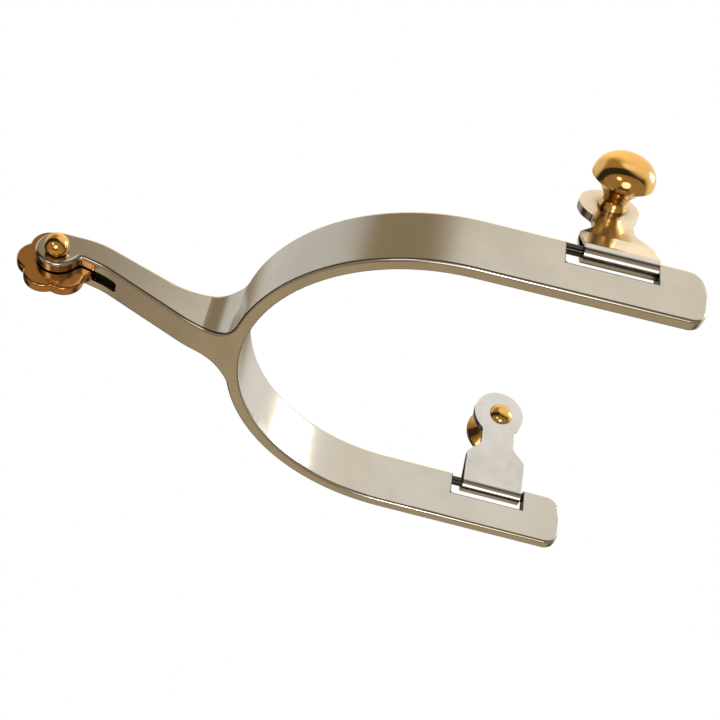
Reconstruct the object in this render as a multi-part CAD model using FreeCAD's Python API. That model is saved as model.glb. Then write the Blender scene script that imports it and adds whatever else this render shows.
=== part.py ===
import FreeCAD, Part
import math
import os

# Western riding spur: a heel band with a raised shank, a rowel that spins in the shank's fork, and a
# strap button on a swinging hanger at each tip of the band.
#
# Millimetres. The origin is the centre of the yoke's half circle, at the band's mid-height.
# +X runs forward to the band's tips, +Y is the wearer's left, +Z is up as worn.

V = FreeCAD.Vector
ORIGIN, X_AXIS, Y_AXIS, Z_AXIS = V(0, 0, 0), V(1, 0, 0), V(0, 1, 0), V(0, 0, 1)

# Heel band: half-inch strip, bent to a three-inch opening
OPENING = 76.0
BAND_H = 12.7
BAND_T = 2.8
FLARE_DEG = 1.0
YOKE_R = (OPENING + BAND_T) / 2
TIP_X = 41.8
TIP_BOW_R = 14.0
TIP_CORNER_R = 3.2
EDGE_R = 0.75

# Shank: an 8 mm bar, 1.5 inches from the band to the rowel's pin
SHANK_T = 8.0
PIN_X = -YOKE_R - 39.5
PIN_Z = 6.3
BOSS_Z = 7.05
BOSS_R = 4.5
BOSS_BOTTOM_DEG = -35.0
ROOT_R = 7.0
# Corners of the shank's outline from the pin to the band, before rounding: distance behind the middle
# of the band, height above its mid-height, and the radius that rounds the corner
SHANK_TOP = [(31.7, 11.55, 18.0), (10.2, 3.72, 19.0), (1.4, 6.35, 5.0)]
SHANK_UNDERSIDE = [(34.66, 6.11, 0.9), (29.6, 4.95, 14.0), (10.5, -3.45, 25.0), (0.9, -6.35, 5.0)]
FORK_GAP = 3.2
FORK_END_X = -YOKE_R - 26.5

# Rowel: a brass disc with six rounded lobes
ROWEL_T = 2.4
ROWEL_R = 8.0
ROWEL_LOBES = 6
LOBE_R = 4.0
LOBE_ROUND_R = 0.6
ROWEL_TURN_DEG = 6.5
NOTCH_R = 0.5
ROWEL_CLEARANCE = 0.07

# Rowel pin: ball head on the right, its centre proud of the shank, and peened over on the left
PIN_R = 1.2
PIN_CLEARANCE = 0.01
PIN_HEAD_R = 2.5
PIN_HEAD_OUT = 1.5
PIN_TAIL_R = 1.9
PIN_TAIL_H = 0.8

# Window near each tip, and the hinge bar across its top
WINDOW_X0 = 15.1
WINDOW_X1 = 32.5
WINDOW_FLOOR_Z = 0.7
WINDOW_R = 0.6
BAR_SIDE = 1.9
BAR_R = 0.7
BAR_INSET = 0.07
BAR_BITE = 0.8
BAR_OUT = BAND_T / 2 - BAR_INSET - BAR_SIDE / 2
BAR_Z = BAND_H / 2 - BAR_INSET - BAR_SIDE / 2

# Hanger: one strap folded round the bar. The inner leaf is straight, and the outer leaf closes on it.
# Heights are from the bar's centre
STRAP_T = 0.8
ROLL_R = 1.2
LEAF_GAP = 0.06
CLOSE_H = 8.2
HANGER_W = 14.0
SHOULDER_H = 7.9
NECK_H = 11.0
NECK_W = 7.9
HEAD_R = 6.05
HEAD_BACK = 0.5
STUD_H = 20.2
SHOULDER_R = 1.0
NECK_BLEND_R = 1.5
CUT_DEPTH = 20.0
INNER_FACE_Y = -ROLL_R - STRAP_T
OUTER_FACE_Y = -ROLL_R + LEAF_GAP + STRAP_T

# Strap button and the rivet that holds it. Heights are from the face each one sits on. A share is how
# far out and how far up a rounded outline passes, as parts of its widest radius and its height
FOOT_R = 2.9
FOOT_H = 0.5
WAIST_R = 2.45
WAIST_H = 1.5
BUTTON_R = 6.2
RIM_H = 6.4
BUTTON_H = 11.2
FLARE_SHARE = (0.57, 0.62)
DOME_SHARE = (0.72, 0.9)
RIVET_R = 1.15
RIVET_CLEARANCE = 0.01
RIVET_DEPTH = 4.6
RIVET_HEAD_R = 2.8
RIVET_HEAD_H = 1.5
RIVET_SHARE = (0.75, 0.62)

# How each hanger stands at rest: its middle, forward of the yoke's centre, and its lean inward
SIDES = {
    "right": {"out": -1, "x": 25.4, "lean_deg": 12.8},
    "left": {"out": 1, "x": 24.8, "lean_deg": 4.1},
}


def polar(centre, radius, degrees):
    """A point on a circle in a plane, as two numbers."""
    a = math.radians(degrees)
    return centre[0] + radius * math.cos(a), centre[1] + radius * math.sin(a)


def unit(start, end):
    """The direction from one point to another."""
    du, dv = end[0] - start[0], end[1] - start[1]
    return du / math.hypot(du, dv), dv / math.hypot(du, dv)


def along(start, direction, distance):
    return start[0] + distance * direction[0], start[1] + distance * direction[1]


def on_xy(p):
    return V(p[0], p[1], 0)


def on_xz(p):
    return V(p[0], 0, p[1])


def on_yz(p):
    return V(0, p[0], p[1])


def line(place, start, end):
    return Part.LineSegment(place(start), place(end)).toShape()


def arc(place, start, middle, end):
    return Part.Arc(place(start), place(middle), place(end)).toShape()


def spline(place, points, start_tangent, end_tangent):
    curve = Part.BSplineCurve()
    curve.interpolate(
        Points=[place(p) for p in points],
        InitialTangent=place(start_tangent),
        FinalTangent=place(end_tangent),
    )
    return curve.toShape()


def rounded_path(place, start, corners, end):
    """Straight runs from start to end, with an arc of its own radius at each corner (u, v, radius)."""
    edges = []
    here = start
    for k, (u, v, radius) in enumerate(corners):
        after = corners[k + 1] if k + 1 < len(corners) else end
        into, out_of = unit((u, v), here), unit((u, v), after)
        half_angle = math.acos(into[0] * out_of[0] + into[1] * out_of[1]) / 2
        cut = radius / math.tan(half_angle)
        bisector = unit((0, 0), (into[0] + out_of[0], into[1] + out_of[1]))
        bulge = radius / math.sin(half_angle) - radius
        first, last = along((u, v), into, cut), along((u, v), out_of, cut)
        edges += [line(place, here, first), arc(place, first, along((u, v), bisector, bulge), last)]
        here = last
    return edges + [line(place, here, end)]


def face_of(edges):
    return Part.Face(Part.Wire(Part.__sortEdges__(edges)))


def is_straight_along(edge, axis):
    if not isinstance(edge.Curve, Part.Line):
        return False
    return abs(abs(edge.Curve.Direction.dot(axis)) - 1) < 1e-6


def bar_shape(x, y, z, radius, axis):
    """A box from three (low, high) pairs, with the edges along one axis rounded."""
    box = Part.makeBox(x[1] - x[0], y[1] - y[0], z[1] - z[0], V(x[0], y[0], z[0]))
    return box.makeFillet(radius, [e for e in box.Edges if is_straight_along(e, axis)])


def in_arm_frame(shape, out):
    """Moves a shape drawn along +X, outward +Y, onto the middle of the arm on that side."""
    placed = shape.copy()
    placed.rotate(ORIGIN, Z_AXIS, FLARE_DEG)
    placed.translate(V(0, YOKE_R / math.cos(math.radians(FLARE_DEG)), 0))
    return placed if out > 0 else placed.mirror(ORIGIN, Y_AXIS)


# ---------------------------------------------------------------- heel band and shank

def arm_line(radius, out):
    """One wall of an arm, from the end of the yoke's arc to beyond the tip."""
    start = polar((0, 0), radius, out * (90 + FLARE_DEG))
    run = TIP_X + 1 - start[0]
    return start, (TIP_X + 1, start[1] + out * run * math.tan(math.radians(FLARE_DEG)))


def root_blend(out):
    """The arc that blends a side of the shank into the back of the yoke."""
    outer = YOKE_R + BAND_T / 2
    centre_y = SHANK_T / 2 + ROOT_R
    centre = (-math.sqrt((outer + ROOT_R) ** 2 - centre_y ** 2), out * centre_y)
    to_shank, to_yoke = (0, -out), unit(centre, (0, 0))
    bisector = unit((0, 0), (to_shank[0] + to_yoke[0], to_shank[1] + to_yoke[1]))
    return [along(centre, direction, ROOT_R) for direction in (to_shank, bisector, to_yoke)]


def casting_plan():
    """The whole casting seen from above."""
    outer, inner = YOKE_R + BAND_T / 2, YOKE_R - BAND_T / 2
    tail_x = PIN_X - 2 * BOSS_R
    edges = [line(on_xy, (tail_x, -SHANK_T / 2), (tail_x, SHANK_T / 2))]
    inner_ends = []
    for out in (-1, 1):
        on_shank, middle, on_yoke = root_blend(out)
        outer_start, outer_end = arm_line(outer, out)
        inner_start, inner_end = arm_line(inner, out)
        halfway = math.degrees(math.atan2(on_yoke[1], on_yoke[0])) + out * (90 + FLARE_DEG)
        edges += [
            line(on_xy, (tail_x, on_shank[1]), on_shank),
            arc(on_xy, on_shank, middle, on_yoke),
            arc(on_xy, on_yoke, polar((0, 0), outer, halfway / 2), outer_start),
            line(on_xy, outer_start, outer_end),
            line(on_xy, outer_end, inner_end),
            line(on_xy, inner_end, inner_start),
        ]
        inner_ends.append(inner_start)
    edges.append(arc(on_xy, inner_ends[0], (-inner, 0), inner_ends[1]))
    return face_of(edges)


def casting_side():
    """The whole casting seen from the side: boss, curved shank, straight band and rounded tip."""
    half_h = BAND_H / 2
    boss, bow = (PIN_X, BOSS_Z), (TIP_X - TIP_BOW_R, 0)
    boss_top, boss_bottom = polar(boss, BOSS_R, 90), polar(boss, BOSS_R, BOSS_BOTTOM_DEG)
    corner_z = half_h - TIP_CORNER_R
    corner_x = bow[0] + math.sqrt((TIP_BOW_R - TIP_CORNER_R) ** 2 - corner_z ** 2)
    corner_deg = math.degrees(math.atan2(corner_z, corner_x - bow[0]))
    bow_ends = [polar(bow, TIP_BOW_R, up * corner_deg) for up in (-1, 1)]
    edges = [
        arc(on_xz, boss_top, polar(boss, BOSS_R, 195), boss_bottom),
        arc(on_xz, bow_ends[0], (TIP_X, 0), bow_ends[1]),
    ]
    for up, corners, start in ((1, SHANK_TOP, boss_top), (-1, SHANK_UNDERSIDE, boss_bottom)):
        placed = [(-YOKE_R - behind, height, radius) for behind, height, radius in corners]
        tip_start = (corner_x, up * half_h)
        tip_middle = polar((corner_x, up * corner_z), TIP_CORNER_R, up * (90 + corner_deg) / 2)
        edges += rounded_path(on_xz, start, placed, tip_start)
        edges.append(arc(on_xz, tip_start, tip_middle, bow_ends[(up + 1) // 2]))
    return face_of(edges)


def window(out):
    """The opening through an arm, cut up past its top edge. The hinge bar closes it again."""
    cut = bar_shape(
        (WINDOW_X0, WINDOW_X1), (-2 * BAND_T, 2 * BAND_T), (WINDOW_FLOOR_Z, BAND_H), WINDOW_R, Y_AXIS
    )
    return in_arm_frame(cut, out)


def hinge_bar(out):
    half = BAR_SIDE / 2
    bar = bar_shape(
        (WINDOW_X0 - BAR_BITE, WINDOW_X1 + BAR_BITE), (BAR_OUT - half, BAR_OUT + half),
        (BAR_Z - half, BAR_Z + half), BAR_R, X_AXIS,
    )
    return in_arm_frame(bar, out)


def heel_band():
    """Band, shank and fork in one piece, with every outside edge rounded over."""
    tall, wide = 4 * BAND_H, 2 * OPENING
    plan = casting_plan().translated(V(0, 0, -tall / 2)).extrude(V(0, 0, tall))
    side = casting_side().translated(V(0, -wide / 2, 0)).extrude(V(0, wide, 0))
    body = plan.common(side)
    seams = [e for e in body.Edges if is_straight_along(e, Y_AXIS) or is_straight_along(e, Z_AXIS)]
    body = body.makeFillet(EDGE_R, [e for e in body.Edges if not any(e.isSame(s) for s in seams)])
    behind = PIN_X - 3 * BOSS_R
    fork = bar_shape(
        (behind, FORK_END_X), (-FORK_GAP / 2, FORK_GAP / 2), (-BAND_H, 2 * BAND_H), FORK_GAP / 4, Z_AXIS
    )
    body = body.cut(fork).cut(along_y_cylinder(PIN_R + PIN_CLEARANCE, SHANK_T))
    for side_data in SIDES.values():
        body = body.cut(window(side_data["out"])).fuse(hinge_bar(side_data["out"]))
    return body


# ---------------------------------------------------------------- rowel and pin

def along_y_cylinder(radius, length):
    """A cylinder on the rowel's axis, centred on the middle of the shank."""
    return Part.makeCylinder(radius, length, V(PIN_X, -length / 2, PIN_Z), Y_AXIS)


def rowel():
    """Lobes set in a ring, filled in the middle, with soft notches between them."""
    reach = ROWEL_R - LOBE_R
    blank = Part.makeCylinder(ROWEL_R - LOBE_R / 2, ROWEL_T, V(0, -ROWEL_T / 2, 0), Y_AXIS)
    for k in range(ROWEL_LOBES):
        x, z = polar((0, 0), reach, 360 * k / ROWEL_LOBES + ROWEL_TURN_DEG)
        blank = blank.fuse(Part.makeCylinder(LOBE_R, ROWEL_T, V(x, -ROWEL_T / 2, z), Y_AXIS))
    blank = blank.removeSplitter()
    blank = blank.makeFillet(NOTCH_R, [e for e in blank.Edges if is_straight_along(e, Y_AXIS)])
    blank = blank.makeFillet(LOBE_ROUND_R, [e for e in blank.Edges if not is_straight_along(e, Y_AXIS)])
    blank.translate(V(PIN_X, 0, PIN_Z))
    return blank.cut(along_y_cylinder(PIN_R + ROWEL_CLEARANCE, 2 * ROWEL_T))


def ball_end(rim, tip_y):
    """The arc from a rim (radius, y) round to the tip on the axis, as part of one circle."""
    height = tip_y - rim[1]
    centre_y = tip_y - (rim[0] ** 2 + height ** 2) / (2 * height)
    sweep = math.atan2(rim[0], (rim[1] - centre_y) * math.copysign(1, height)) / 2
    curve_r = tip_y - centre_y
    return arc(on_xy, rim, (abs(curve_r) * math.sin(sweep), centre_y + curve_r * math.cos(sweep)), (0, tip_y))


def rowel_pin():
    """Head, shaft and peened tail turned about one axis, running from right to left."""
    half = SHANK_T / 2
    seat_r = math.sqrt(PIN_HEAD_R ** 2 - PIN_HEAD_OUT ** 2)
    head_tip = -half - PIN_HEAD_OUT - PIN_HEAD_R
    tail_tip = half + PIN_TAIL_H
    edges = [
        line(on_xy, (0, head_tip), (0, tail_tip)),
        ball_end((seat_r, -half), head_tip),
        line(on_xy, (seat_r, -half), (PIN_R, -half)),
        line(on_xy, (PIN_R, -half), (PIN_R, half)),
        line(on_xy, (PIN_R, half), (PIN_TAIL_R, half)),
        ball_end((PIN_TAIL_R, half), tail_tip),
    ]
    return face_of(edges).revolve(ORIGIN, Y_AXIS, 360).translated(V(PIN_X, 0, PIN_Z))


# ---------------------------------------------------------------- hangers, buttons and rivets
# Drawn with the bar along X at the origin, outward +Y and upright +Z, then leaned and moved.

def onto_bar(shape, side_data):
    """Leans an upright piece inward about the bar, and moves it to its place along its arm."""
    placed = shape.copy()
    placed.rotate(ORIGIN, X_AXIS, side_data["lean_deg"])
    placed.translate(V(side_data["x"], BAR_OUT, BAR_Z))
    return in_arm_frame(placed, side_data["out"])


def strap_section():
    """End view of the folded strap: the roll, a straight inner leaf, and an outer leaf bent to meet it."""
    outside = ROLL_R + STRAP_T
    top = STUD_H + HEAD_R + 1
    reach = math.hypot(OUTER_FACE_Y, CLOSE_H)
    lean = math.asin(outside / reach) - math.atan2(OUTER_FACE_Y, CLOSE_H)
    lean_deg = math.degrees(lean)
    contact_y = OUTER_FACE_Y - STRAP_T
    contact_h = (ROLL_R - contact_y * math.cos(lean)) / math.sin(lean)
    edges = [
        line(on_yz, (INNER_FACE_Y, 0), (INNER_FACE_Y, top)),
        line(on_yz, (INNER_FACE_Y, top), (-ROLL_R, top)),
        line(on_yz, (-ROLL_R, top), (-ROLL_R, 0)),
        line(on_yz, polar((0, 0), outside, lean_deg), (OUTER_FACE_Y, CLOSE_H)),
        line(on_yz, (OUTER_FACE_Y, CLOSE_H), (OUTER_FACE_Y, top)),
        line(on_yz, (OUTER_FACE_Y, top), (contact_y, top)),
        line(on_yz, (contact_y, top), (contact_y, contact_h)),
        line(on_yz, (contact_y, contact_h), polar((0, 0), ROLL_R, lean_deg)),
    ]
    for radius in (outside, ROLL_R):
        edges.append(arc(on_yz, polar((0, 0), radius, lean_deg), (0, -radius), (-radius, 0)))
    return face_of(edges)


def strap_outline():
    """Front view of the hanger: wide foot, sloping shoulders, neck and round head."""
    half_w, half_neck = HANGER_W / 2, NECK_W / 2
    low, front_y = -3 * ROLL_R, -CUT_DEPTH / 2
    foot = Part.makeBox(HANGER_W, CUT_DEPTH, SHOULDER_H - low, V(-half_w, front_y, low))
    shoulder = face_of([
        line(on_xz, (-half_w, SHOULDER_H), (half_w, SHOULDER_H)),
        line(on_xz, (half_w, SHOULDER_H), (half_neck, NECK_H)),
        line(on_xz, (half_neck, NECK_H), (-half_neck, NECK_H)),
        line(on_xz, (-half_neck, NECK_H), (-half_w, SHOULDER_H)),
    ]).translated(V(0, front_y, 0)).extrude(V(0, CUT_DEPTH, 0))
    neck = Part.makeBox(NECK_W, CUT_DEPTH, STUD_H - NECK_H, V(-half_neck, front_y, NECK_H))
    head = Part.makeCylinder(HEAD_R, CUT_DEPTH, V(-HEAD_BACK, front_y, STUD_H), Y_AXIS)
    outline = foot.fuse(shoulder).fuse(neck).fuse(head).removeSplitter()
    uprights = [e for e in outline.Edges if is_straight_along(e, Y_AXIS) and e.CenterOfMass.z > 0]
    soft = [e for e in uprights if e.CenterOfMass.z < SHOULDER_H + 0.1]
    outline = outline.makeFillet(SHOULDER_R, soft)
    uprights = [e for e in outline.Edges if is_straight_along(e, Y_AXIS)]
    tight = [e for e in uprights if abs(abs(e.CenterOfMass.x) - half_neck) < 0.01]
    return outline.makeFillet(NECK_BLEND_R, tight)


def hanger(side_data):
    section = strap_section().translated(V(-HANGER_W, 0, 0)).extrude(V(2 * HANGER_W, 0, 0))
    strap = section.common(strap_outline())
    hole = Part.makeCylinder(RIVET_R + RIVET_CLEARANCE, CUT_DEPTH, V(0, -CUT_DEPTH / 2, STUD_H), Y_AXIS)
    return onto_bar(strap.cut(hole), side_data)


def turned_on_stud(edges, side_data):
    """Turns a half outline, drawn as (radius, distance out), about the rivet's axis."""
    solid = face_of(edges).revolve(ORIGIN, Y_AXIS, 360).translated(V(0, 0, STUD_H))
    return onto_bar(solid, side_data)


def strap_button(side_data):
    """A mushroom with a small foot, a waist, a wide rounded head and a blind hole for its rivet."""
    hole_r, hole_end = RIVET_R + RIVET_CLEARANCE, OUTER_FACE_Y + RIVET_DEPTH
    at = lambda r, h: (r, OUTER_FACE_Y + h)
    flare_point = at(FLARE_SHARE[0] * BUTTON_R, FLARE_SHARE[1] * RIM_H)
    dome_point = at(DOME_SHARE[0] * BUTTON_R, DOME_SHARE[1] * BUTTON_H)
    flare = [at(FOOT_R, FOOT_H), at(WAIST_R, WAIST_H), flare_point, at(BUTTON_R, RIM_H)]
    dome = [at(BUTTON_R, RIM_H), dome_point, at(0, BUTTON_H)]
    edges = [
        line(on_xy, at(hole_r, 0), at(FOOT_R, 0)),
        line(on_xy, at(FOOT_R, 0), at(FOOT_R, FOOT_H)),
        spline(on_xy, flare, (-0.4, 1), (0.8, 0.6)),
        spline(on_xy, dome, (0, 1), (-1, 0)),
        line(on_xy, at(0, BUTTON_H), (0, hole_end)),
        line(on_xy, (0, hole_end), (hole_r, hole_end)),
        line(on_xy, (hole_r, hole_end), at(hole_r, 0)),
    ]
    return turned_on_stud(edges, side_data)


def button_rivet(side_data):
    """A low domed head inside, and a shaft out through both leaves into the button."""
    end = OUTER_FACE_Y + RIVET_DEPTH - RIVET_CLEARANCE
    rim = (RIVET_HEAD_R, INNER_FACE_Y)
    crown = (0, INNER_FACE_Y - RIVET_HEAD_H)
    shoulder = (RIVET_SHARE[0] * RIVET_HEAD_R, INNER_FACE_Y - RIVET_SHARE[1] * RIVET_HEAD_H)
    edges = [
        spline(on_xy, [crown, shoulder, rim], (1, 0), (0.35, 1)),
        line(on_xy, rim, (RIVET_R, INNER_FACE_Y)),
        line(on_xy, (RIVET_R, INNER_FACE_Y), (RIVET_R, end)),
        line(on_xy, (RIVET_R, end), (0, end)),
        line(on_xy, (0, end), crown),
    ]
    return turned_on_stud(edges, side_data)


def all_pieces():
    pieces = {"heel_band": heel_band(), "rowel": rowel(), "rowel_pin": rowel_pin()}
    for side, side_data in SIDES.items():
        pieces[f"hanger_{side}"] = hanger(side_data)
        pieces[f"strap_button_{side}"] = strap_button(side_data)
        pieces[f"button_rivet_{side}"] = button_rivet(side_data)
    return pieces


os.makedirs("parts", exist_ok=True)
for name, shape in all_pieces().items():
    solids = shape.Solids
    print(name, shape.isValid(), len(solids), "solid", round(shape.Volume, 1), "mm3")
    solids[0].exportStep(f"parts/{name}.step")
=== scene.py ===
import math

import bpy
from mathutils import Matrix, Vector


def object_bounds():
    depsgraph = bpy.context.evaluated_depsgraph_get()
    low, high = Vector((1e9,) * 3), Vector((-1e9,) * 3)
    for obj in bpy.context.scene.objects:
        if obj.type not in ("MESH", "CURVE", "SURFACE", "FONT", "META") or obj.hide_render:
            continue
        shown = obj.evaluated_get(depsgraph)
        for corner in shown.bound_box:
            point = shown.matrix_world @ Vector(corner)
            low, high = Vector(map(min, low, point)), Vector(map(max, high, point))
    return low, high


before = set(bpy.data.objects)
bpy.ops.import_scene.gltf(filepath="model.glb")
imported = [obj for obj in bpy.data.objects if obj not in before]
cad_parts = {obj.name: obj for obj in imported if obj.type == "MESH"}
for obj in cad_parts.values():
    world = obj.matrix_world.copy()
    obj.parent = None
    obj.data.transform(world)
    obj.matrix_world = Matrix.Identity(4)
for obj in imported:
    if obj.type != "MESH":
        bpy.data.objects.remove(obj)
START_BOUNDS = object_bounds()

MM = 0.001

# Camera: below the spur and on the wearer's right, rolled a little. The three axes are its own
CAMERA_AT = (-27.9 * MM, -181.47 * MM, -147.80 * MM)
CAMERA_RIGHT = (0.9684, -0.1974, 0.1526)
CAMERA_UP = (-0.2427, -0.6042, 0.7590)
CAMERA_BACK = (-0.0576, -0.7720, -0.6330)
LENS_MM = 57.6
SENSOR_MM = 36.0
NEAREST_SEEN = 5.0 * MM
FARTHEST_SEEN = 10000.0 * MM

# Stage. The floor is low enough for the hangers to hang below the band
BACKDROP = (1.0, 1.0, 1.0)
FLOOR_SIZE = 1600.0 * MM
FLOOR_DROP = 20.0 * MM
FLOOR_COLOUR = (0.90, 0.89, 0.87)

# Studio surroundings that the metal mirrors: a room that fades from low to high, a dark band at the
# horizon and soft cards. Each card is a direction, how wide it is in degrees, how soft its border is
# in degrees, a colour and a strength. Heights are the upward part of a direction, from -1 to 1
ROOM_HIGH = (0.34, 0.27, 0.17)
ROOM_LOW = (0.32, 0.25, 0.18)
ROOM_FADE_FROM = -0.55
ROOM_FADE_TO = 0.45
SMALLEST_CARD_DEG = 0.5
CARDS = [
    ((0.52, -0.60, 0.61), 29, 36, (1.0, 0.94, 0.84), 0.98),
    ((0.12, -0.84, 0.53), 12, 16, (1.0, 0.98, 0.94), 1.00),
    ((0.80, 0.10, 0.58), 40, 34, (1.0, 0.985, 0.96), 1.02),
    ((0.0, 0.10, 1.0), 30, 30, (1.0, 0.82, 0.58), 1.25),
    ((-0.62, 0.10, 0.60), 26, 20, (0.95, 0.94, 0.90), 0.80),
    ((-0.42, 0.80, 0.42), 13, 10, (0.12, 0.11, 0.10), 1.0),
    ((0.02, 0.72, -0.69), 38, 34, (0.50, 0.40, 0.26), 1.0),
    ((0.06, -0.44, -0.90), 15, 4, (1.0, 0.98, 0.95), 1.9),
    ((-0.42, -0.70, -0.58), 8, 3, (1.0, 0.98, 0.94), 2.2),
]
HORIZON_DARK = (0.030, 0.028, 0.030)
HORIZON_HEIGHT = 0.02
HORIZON_HALF = 0.21
HORIZON_SOFT = 0.12
UNDER_DARK = ((0.0, 0.10, -1.0), 22, 8, (0.05, 0.045, 0.045), 1.0)

# Lamps: name, place in metres, size in metres, watts and colour. Both face the origin
LAMPS = [
    ("key_light", (0.70, -0.10, 0.45), (0.30, 0.20), 3.0, (1.0, 0.96, 0.90)),
    ("under_light", (0.10, -0.45, -0.70), (0.12, 0.05), 0.5, (1.0, 0.98, 0.95)),
]

# Wear on edges: how far the search for a bend reaches, the cosines of the bends at which wear starts
# and is full, and the least share of it that the patches leave
EDGE_SEARCH = 0.45 * MM
EDGE_SAMPLES = 6
EDGE_BEND_LEAST = 0.998
EDGE_BEND_MOST = 0.93
EDGE_LEAST_PATCH = 0.35

# Painted shade and grime in hollows: the colour is darkened towards near black where little open sky is
# seen. How far the search for walls reaches, the shares of open sky at which the darkening starts and
# is full, and how much of the metal it hides
HOLLOW_SEARCH = 9.0 * MM
HOLLOW_SAMPLES = 12
HOLLOW_OPEN = 0.56
HOLLOW_CLOSED = 0.30
HOLLOW_SHADE_AND_GRIME = 0.95
SHADE_AND_GRIME = (0.035, 0.033, 0.032)

# Noise patterns: about how many cells each has in a metre
PATCH_GRAIN = 900.0
CLOUD_GRAIN = 95.0
STAIN_GRAIN = 260.0
PIT_GRAIN = 1700.0

# Where in the noise, which runs from 0 to 1, each pattern starts to show and shows in full
PATCH_RANGE = (0.38, 0.62)
TARNISH_RANGE = (0.30, 0.72)
MATT_RANGE = (0.3, 0.7)
STAIN_RANGE = (0.56, 0.74)
PIT_RANGE = (0.70, 0.80)
SCRATCH_RANGE = (0.55, 0.8)

# How strongly the patterns act on colour, roughness and height
TARNISH_MOST = 0.45
MATT_LEAST = 0.8
MATT_MOST = 1.3
STAIN_ROUGHNESS = 0.12
SCRATCH_ROUGHNESS = 0.06
RUBBED_SMOOTHING = 0.35
SMOOTHEST = 0.04
PIT_DEPTH = 0.6
BUMP_HEIGHT = 0.02 * MM

# The window cut through each arm under its hinge bar. Painted shade darkens the bars, the window walls
# and the faces just around them
WINDOW_START = 15.1 * MM
WINDOW_END = 32.5 * MM
WINDOW_FLOOR = 0.7 * MM
WINDOW_SHADE_SPREAD = 0.3 * MM

# Metal colours
STEEL = (0.63, 0.59, 0.51)
STEEL_WORN = (0.86, 0.84, 0.80)
STEEL_DULL = (0.52, 0.485, 0.43)
STRAP_STEEL = (0.74, 0.715, 0.68)
BRASS = (0.93, 0.56, 0.17)
BRASS_WORN = (0.98, 0.72, 0.34)
BRASS_DULL = (0.52, 0.25, 0.07)
COPPERY = (0.68, 0.34, 0.11)
COPPERY_WORN = (0.92, 0.60, 0.32)
COPPERY_DULL = (0.30, 0.12, 0.04)


class Nodes:
    """A node tree with short calls for adding nodes and joining them."""

    def __init__(self, tree):
        self.tree = tree
        self.tree.nodes.clear()

    def add(self, kind, **settings):
        node = self.tree.nodes.new(kind)
        for key, value in settings.items():
            setattr(node, key, value)
        return node

    def put(self, socket, value):
        """Joins another node's output, or sets a number, a vector or a colour of three parts."""
        if isinstance(value, bpy.types.NodeSocket):
            self.tree.links.new(value, socket)
        elif socket.type == "RGBA":
            socket.default_value = (*value, 1.0)
        else:
            socket.default_value = value

    def math(self, operation, a, b=0.0):
        node = self.add("ShaderNodeMath", operation=operation)
        self.put(node.inputs[0], a)
        self.put(node.inputs[1], b)
        return node.outputs[0]

    def dot(self, a, b):
        node = self.add("ShaderNodeVectorMath", operation="DOT_PRODUCT")
        self.put(node.inputs[0], a)
        self.put(node.inputs[1], b)
        return node.outputs["Value"]

    def remap(self, value, low, high, to_low=0.0, to_high=1.0):
        """Eases from to_low to to_high as value goes from low to high. low may be above high."""
        node = self.add("ShaderNodeMapRange", interpolation_type="SMOOTHSTEP")
        for socket, number in zip(node.inputs, (value, low, high, to_low, to_high)):
            self.put(socket, number)
        return node.outputs[0]

    def blend(self, share, a, b):
        """Goes from colour a to colour b. Sockets 6, 7 and 2 are the mix node's colour ones."""
        node = self.add("ShaderNodeMix", data_type="RGBA")
        self.put(node.inputs["Factor"], share)
        self.put(node.inputs[6], a)
        self.put(node.inputs[7], b)
        return node.outputs[2]

    def noise(self, where, scale, detail=4.0, roughness=0.55):
        node = self.add("ShaderNodeTexNoise")
        self.put(node.inputs["Vector"], where)
        self.put(node.inputs["Scale"], scale)
        self.put(node.inputs["Detail"], detail)
        self.put(node.inputs["Roughness"], roughness)
        return node.outputs["Fac"]

    def stretched(self, where, scale):
        node = self.add("ShaderNodeMapping")
        self.put(node.inputs["Vector"], where)
        self.put(node.inputs["Scale"], scale)
        return node.outputs["Vector"]


def window_painted_shade(n, where):
    """Painted shade mask: 1 on the hinge bars and on the walls of their windows, fading out over the
    faces around them.
    """
    along = n.dot(where, (1.0, 0.0, 0.0))
    height = n.dot(where, (0.0, 0.0, 1.0))
    after = n.remap(along, WINDOW_START - WINDOW_SHADE_SPREAD, WINDOW_START)
    before = n.remap(along, WINDOW_END + WINDOW_SHADE_SPREAD, WINDOW_END)
    above = n.remap(height, WINDOW_FLOOR - WINDOW_SHADE_SPREAD, WINDOW_FLOOR)
    return n.math("MULTIPLY", n.math("MULTIPLY", after, before), above)


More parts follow.
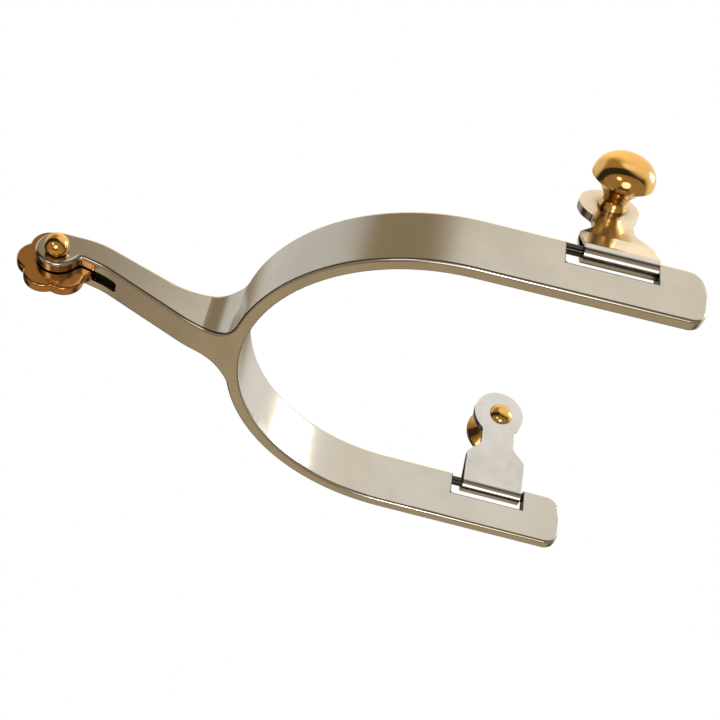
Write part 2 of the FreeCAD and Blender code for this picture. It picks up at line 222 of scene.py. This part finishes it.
def worn_metal(name, colours, roughness, brushed, grain, scratch_depth, dirt, shade_windows=False):
    """Polished metal: cloudy tarnish, fine directional scratches, bright rubbed edges, and hollows
    darkened by painted shade and grime. colours are (base, worn, dull). brushed squeezes the scratch
    pattern along x, y and z."""
    base, worn, dull = colours
    material = bpy.data.materials.new(name)
    material.use_nodes = True
    n = Nodes(material.node_tree)
    where = n.add("ShaderNodeTexCoord").outputs["Object"]
    shader = n.add("ShaderNodeBsdfPrincipled")
    shader.inputs["Metallic"].default_value = 1.0

    geometry = n.add("ShaderNodeNewGeometry")
    rounded = n.add("ShaderNodeBevel", samples=EDGE_SAMPLES)
    rounded.inputs["Radius"].default_value = EDGE_SEARCH
    bend = n.dot(rounded.outputs["Normal"], geometry.outputs["Normal"])
    edge = n.remap(bend, EDGE_BEND_LEAST, EDGE_BEND_MOST)
    patchy = n.remap(n.noise(where, PATCH_GRAIN), *PATCH_RANGE)
    rubbed = n.math("MULTIPLY", edge, n.math("MAXIMUM", patchy, EDGE_LEAST_PATCH))

    # Painted shade and grime: near-black colour where little open sky is seen, in slots, gaps and where
    # parts meet
    open_sky = n.add("ShaderNodeAmbientOcclusion", samples=HOLLOW_SAMPLES)
    open_sky.inputs["Distance"].default_value = HOLLOW_SEARCH
    hollow_shade_and_grime = n.remap(open_sky.outputs["AO"], HOLLOW_OPEN, HOLLOW_CLOSED)
    # Painted shade on the hinge bars and window walls of the arms
    if shade_windows:
        hollow_shade_and_grime = n.math("MAXIMUM", hollow_shade_and_grime, window_painted_shade(n, where))

    clouds = n.noise(where, CLOUD_GRAIN, 6.0)
    stains = n.remap(n.noise(where, STAIN_GRAIN, 8.0, 0.7), *STAIN_RANGE)
    scratches = n.noise(n.stretched(where, brushed), grain, 3.0, 0.6)
    pits = n.remap(n.noise(where, PIT_GRAIN, 2.0), *PIT_RANGE)

    colour = n.blend(n.remap(clouds, *TARNISH_RANGE, 0.0, TARNISH_MOST), base, dull)
    colour = n.blend(n.math("MULTIPLY", stains, dirt), colour, dull)
    colour = n.blend(n.math("MULTIPLY", pits, dirt), colour, dull)
    colour = n.blend(rubbed, colour, worn)
    # Painted shade and grime: the hollows, and the arm windows where asked, are blended towards near
    # black
    colour = n.blend(n.math("MULTIPLY", hollow_shade_and_grime, HOLLOW_SHADE_AND_GRIME), colour, SHADE_AND_GRIME)
    n.put(shader.inputs["Base Color"], colour)

    rough = n.remap(clouds, *MATT_RANGE, roughness * MATT_LEAST, roughness * MATT_MOST)
    rough = n.math("ADD", rough, n.math("MULTIPLY", stains, STAIN_ROUGHNESS * dirt))
    deep_scratches = n.remap(scratches, *SCRATCH_RANGE)
    rough = n.math("ADD", rough, n.math("MULTIPLY", deep_scratches, SCRATCH_ROUGHNESS))
    rough = n.math("SUBTRACT", rough, n.math("MULTIPLY", rubbed, roughness * RUBBED_SMOOTHING))
    n.put(shader.inputs["Roughness"], n.math("MAXIMUM", rough, SMOOTHEST))

    height = n.math("SUBTRACT", scratches, n.math("MULTIPLY", pits, PIT_DEPTH))
    bump = n.add("ShaderNodeBump")
    bump.inputs["Strength"].default_value = scratch_depth
    bump.inputs["Distance"].default_value = BUMP_HEIGHT
    n.put(bump.inputs["Height"], height)
    n.put(shader.inputs["Normal"], bump.outputs["Normal"])
    output = n.add("ShaderNodeOutputMaterial")
    n.put(output.inputs["Surface"], shader.outputs["BSDF"])
    return material


def dress(node_name, material):
    """Gives a CAD node its finish, on the object's own slots so that the mesh isn't changed."""
    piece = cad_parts[node_name]
    if not piece.material_slots:
        piece.data.materials.append(None)
    for place in piece.material_slots:
        place.link = "OBJECT"
        place.material = material


def metals():
    steel_tones = (STEEL, STEEL_WORN, STEEL_DULL)
    strap_tones = (STRAP_STEEL, STEEL_WORN, STEEL_DULL)
    brass_tones = (BRASS, BRASS_WORN, BRASS_DULL)
    copper_tones = (COPPERY, COPPERY_WORN, COPPERY_DULL)
    steel = worn_metal("polished_steel_worn", steel_tones, roughness=0.15, brushed=(1, 1, 9),
                       grain=900.0, scratch_depth=0.10, dirt=0.35, shade_windows=True)
    strap = worn_metal("strap_steel_satin", strap_tones, roughness=0.18, brushed=(9, 1, 1),
                       grain=700.0, scratch_depth=0.18, dirt=0.45)
    brass = worn_metal("brass_polished", brass_tones, roughness=0.12, brushed=(1, 1, 1),
                       grain=1200.0, scratch_depth=0.10, dirt=0.45)
    copper = worn_metal("rowel_brass_aged", copper_tones, roughness=0.16, brushed=(1, 8, 1),
                        grain=700.0, scratch_depth=0.10, dirt=0.8)
    dress("heel_band", steel)
    dress("rowel", copper)
    dress("rowel_pin", brass)
    for side in ("right", "left"):
        dress(f"hanger_{side}", strap)
        dress(f"strap_button_{side}", brass)
        dress(f"button_rivet_{side}", brass)


def surroundings():
    """A white background for the camera, and a warm room with soft cards for everything else."""
    world = bpy.data.worlds.new("studio")
    world.use_nodes = True
    bpy.context.scene.world = world
    n = Nodes(world.node_tree)
    direction = n.add("ShaderNodeTexCoord").outputs["Generated"]
    height = n.dot(direction, (0.0, 0.0, 1.0))
    colour = n.blend(n.remap(height, ROOM_FADE_FROM, ROOM_FADE_TO), ROOM_LOW, ROOM_HIGH)
    level = n.math("ABSOLUTE", n.math("SUBTRACT", height, HORIZON_HEIGHT))
    band = n.remap(level, HORIZON_HALF + HORIZON_SOFT, HORIZON_HALF)
    colour = n.blend(band, colour, HORIZON_DARK)
    for towards, width_deg, soft_deg, tint, strength in [UNDER_DARK, *CARDS]:
        inner = math.cos(math.radians(max(width_deg - soft_deg / 2, SMALLEST_CARD_DEG)))
        outer = math.cos(math.radians(width_deg + soft_deg / 2))
        share = n.remap(n.dot(direction, Vector(towards).normalized()), outer, inner)
        colour = n.blend(share, colour, tuple(strength * c for c in tint))
    room = n.add("ShaderNodeBackground")
    n.put(room.inputs["Color"], colour)
    plain = n.add("ShaderNodeBackground")
    n.put(plain.inputs["Color"], BACKDROP)
    seen = n.add("ShaderNodeLightPath").outputs["Is Camera Ray"]
    both = n.add("ShaderNodeMixShader")
    n.put(both.inputs[0], seen)
    n.put(both.inputs[1], room.outputs[0])
    n.put(both.inputs[2], plain.outputs[0])
    output = n.add("ShaderNodeOutputWorld")
    n.put(output.inputs["Surface"], both.outputs[0])


def floor():
    """A pale floor that only shows from above, so that it never hides the spur from a low camera. It
    casts no shadow on the spur and isn't mirrored in it."""
    low = START_BOUNDS[0].z - FLOOR_DROP
    half = FLOOR_SIZE / 2
    corners = [(-half, -half, low), (half, -half, low), (half, half, low), (-half, half, low)]
    mesh = bpy.data.meshes.new("floor")
    mesh.from_pydata(corners, [], [(0, 1, 2, 3)])
    piece = bpy.data.objects.new("floor", mesh)
    bpy.context.scene.collection.objects.link(piece)
    material = bpy.data.materials.new("floor_paint")
    material.use_nodes = True
    n = Nodes(material.node_tree)
    paint = n.add("ShaderNodeBsdfDiffuse")
    n.put(paint.inputs["Color"], FLOOR_COLOUR)
    clear = n.add("ShaderNodeBsdfTransparent")
    from_below = n.add("ShaderNodeNewGeometry").outputs["Backfacing"]
    both = n.add("ShaderNodeMixShader")
    n.put(both.inputs[0], from_below)
    n.put(both.inputs[1], paint.outputs[0])
    n.put(both.inputs[2], clear.outputs[0])
    output = n.add("ShaderNodeOutputMaterial")
    n.put(output.inputs["Surface"], both.outputs[0])
    mesh.materials.append(material)
    piece.visible_diffuse = False
    piece.visible_glossy = False
    piece.visible_shadow = False


def soft_box(name, position, size, power, colour):
    """A rectangular lamp that faces the origin and is hidden from the camera."""
    light = bpy.data.lights.new(name, "AREA")
    light.shape = "RECTANGLE"
    light.size = size[0]
    light.size_y = size[1]
    light.energy = power
    light.color = colour
    lamp = bpy.data.objects.new(name, light)
    bpy.context.scene.collection.objects.link(lamp)
    lamp.location = position
    lamp.rotation_mode = "QUATERNION"
    lamp.rotation_quaternion = (-Vector(position)).to_track_quat("-Z", "Y")
    lamp.visible_camera = False


def lights():
    for lamp in LAMPS:
        soft_box(*lamp)


def camera():
    columns = (CAMERA_RIGHT, CAMERA_UP, CAMERA_BACK)
    turn = Matrix([[axis[row] for axis in columns] for row in range(3)])
    data = bpy.data.cameras.new("camera")
    data.lens = LENS_MM
    data.sensor_width = SENSOR_MM
    data.clip_start = NEAREST_SEEN
    data.clip_end = FARTHEST_SEEN
    eye = bpy.data.objects.new("camera", data)
    bpy.context.scene.collection.objects.link(eye)
    eye.matrix_world = Matrix.Translation(CAMERA_AT) @ turn.to_4x4()
    bpy.context.scene.camera = eye


def tone():
    settings = bpy.context.scene.view_settings
    settings.view_transform = "Standard"
    settings.look = "None"


metals()
surroundings()
floor()
lights()
camera()
tone()
